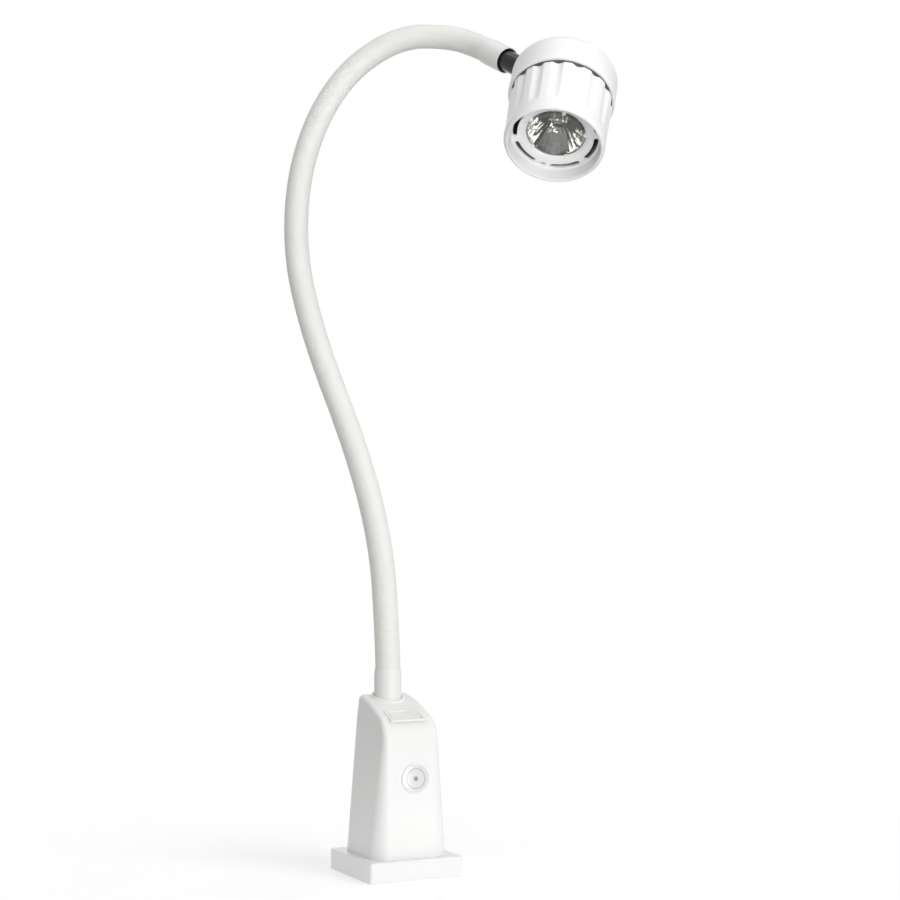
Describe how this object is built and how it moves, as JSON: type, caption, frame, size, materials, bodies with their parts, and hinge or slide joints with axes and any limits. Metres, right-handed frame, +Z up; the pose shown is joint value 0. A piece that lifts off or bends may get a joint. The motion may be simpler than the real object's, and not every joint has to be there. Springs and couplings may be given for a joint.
{
  "type": "examination lamp",
  "caption": "Bedside examination lamp: switched transformer tower on a square foot, bent gooseneck and a swivelling round head with a fluted twist-off shade.",
  "frame": {"origin": "centre of the underside of the square foot plate, on the surface it stands on", "axes": "+Z up along the tower, -Y towards the side with the rocker switch and the badge, +X to the right when facing that side"},
  "size_m": [0.2173, 0.249, 0.6973],
  "materials": {
    "plate_paint": "satin",
    "tower_plastic": "satin",
    "head_plastic": "satin",
    "cuff_plastic": "satin",
    "neck_pvc": "satin",
    "switch_ivory": "satin",
    "badge_resin": "polished",
    "screw_steel": "satin",
    "sheet_steel": "satin",
    "neck_spiral": "satin",
    "core_laminations": "matte",
    "coil_winding": "satin",
    "terminal_nylon": "matte",
    "black_plastic": "satin",
    "fuse_glass": "polished",
    "gland_nylon": "satin",
    "contact_brass": "satin",
    "stem_black": "satin",
    "holder_ceramic": "matte",
    "lamp_glass": "polished",
    "reflector_coating": "polished",
    "lead_rubber": "matte"
  },
  "bodies": {
    "base": {"foot_plate": "plate_paint", "tower_shell": "tower_plastic", "base_screws": "screw_steel", "neck_frame": "sheet_steel", "frame_screws": "screw_steel", "transformer_core": "core_laminations", "transformer_coil": "coil_winding", "transformer_strap": "sheet_steel", "transformer_screws": "screw_steel", "terminal_block": "terminal_nylon", "fuse_holder": "black_plastic", "fuse_link": "fuse_glass", "cord_gland": "gland_nylon", "gland_nut": "gland_nylon", "switch_housing": "switch_ivory", "switch_terminals": "contact_brass", "badge": "badge_resin", "neck_nipple": "sheet_steel", "neck_nuts": "screw_steel", "lower_cuff": "cuff_plastic", "neck_core_0": "neck_spiral", "neck_sheath_1": "neck_pvc", "neck_lead_1": "lead_rubber"},
    "rocker": {"rocker_button": "switch_ivory"},
    "neck_1": {"neck_core_1": "neck_spiral", "neck_sheath_2": "neck_pvc", "neck_lead_2": "lead_rubber"},
    "neck_2": {"neck_core_2": "neck_spiral", "neck_sheath_3": "neck_pvc", "neck_lead_3": "lead_rubber"},
    "neck_3": {"neck_core_3": "neck_spiral", "neck_sheath_4": "neck_pvc", "neck_lead_4": "lead_rubber"},
    "neck_4": {"neck_core_4": "neck_spiral", "neck_sheath_5": "neck_pvc", "neck_lead_5": "lead_rubber"},
    "neck_5": {"neck_core_5": "neck_spiral", "neck_sheath_6": "neck_pvc", "neck_lead_6": "lead_rubber"},
    "neck_6": {"neck_core_6": "neck_spiral", "upper_cuff": "cuff_plastic", "neck_ferrule": "sheet_steel", "swivel_bush": "black_plastic"},
    "head": {"stem": "stem_black", "stem_clip": "screw_steel", "stem_screw": "screw_steel", "cap": "head_plastic", "lamp_can": "black_plastic", "lamp_holder": "holder_ceramic", "holder_bracket": "sheet_steel", "holder_screws": "screw_steel", "lamp_reflector": "reflector_coating", "lamp_capsule": "lamp_glass", "lamp_pins": "contact_brass", "lamp_glass": "lamp_glass"},
    "sleeve": {"sleeve": "head_plastic", "sleeve_spring": "sheet_steel"}
  },
  "joints": [
    {"name": "neck_bend_1", "type": "hinge", "parent": "base", "child": "neck_1", "pos_m": [0.00045, 0.02196, 0.21569], "axis": [0.4389, 0.8665, -0.2377], "range_deg": [-20, 20], "deforming": ["neck_sheath_1", "neck_lead_1"]},
    {"name": "neck_bend_2", "type": "hinge", "parent": "neck_1", "child": "neck_2", "pos_m": [-0.00164, 0.06215, 0.31806], "axis": [-0.8587, 0.4169, -0.2981], "range_deg": [-20, 20], "deforming": ["neck_sheath_2", "neck_lead_2"]},
    {"name": "neck_bend_3", "type": "hinge", "parent": "neck_2", "child": "neck_3", "pos_m": [-0.02043, 0.1057, 0.41708], "axis": [0.4737, 0.8703, -0.1348], "range_deg": [-20, 20], "deforming": ["neck_sheath_3", "neck_lead_3"]},
    {"name": "neck_bend_4", "type": "hinge", "parent": "neck_3", "child": "neck_4", "pos_m": [-0.0348, 0.12528, 0.52421], "axis": [-0.8995, 0.4368, -0.0096], "range_deg": [-20, 20], "deforming": ["neck_sheath_4", "neck_lead_4"]},
    {"name": "neck_bend_5", "type": "hinge", "parent": "neck_4", "child": "neck_5", "pos_m": [-0.00754, 0.1232, 0.62989], "axis": [0.389, 0.9171, -0.0876], "range_deg": [-20, 20], "deforming": ["neck_sheath_5", "neck_lead_5"]},
    {"name": "neck_bend_6", "type": "hinge", "parent": "neck_5", "child": "neck_6", "pos_m": [0.07323, 0.08931, 0.68702], "axis": [0.0216, -0.0105, 0.9997], "range_deg": [-20, 20], "deforming": ["neck_sheath_6", "neck_lead_6"]},
    {"name": "head_swivel", "type": "hinge", "parent": "neck_6", "child": "head", "pos_m": [0.114, 0.0273, 0.6603], "axis": [0.2321, -0.878, -0.4187], "range_deg": [-170, 170]},
    {"name": "sleeve_twist", "type": "hinge", "parent": "head", "child": "sleeve", "pos_m": [0.1359, -0.0338, 0.64195], "axis": [-0.4027, -0.5129, -0.7581], "range_deg": [0, 25]},
    {"name": "rocker_tilt", "type": "hinge", "parent": "base", "child": "rocker", "pos_m": [0, -0.01395, 0.12269], "axis": [0, 0.9367, 0.3502], "range_deg": [0, 13]}
  ]
}
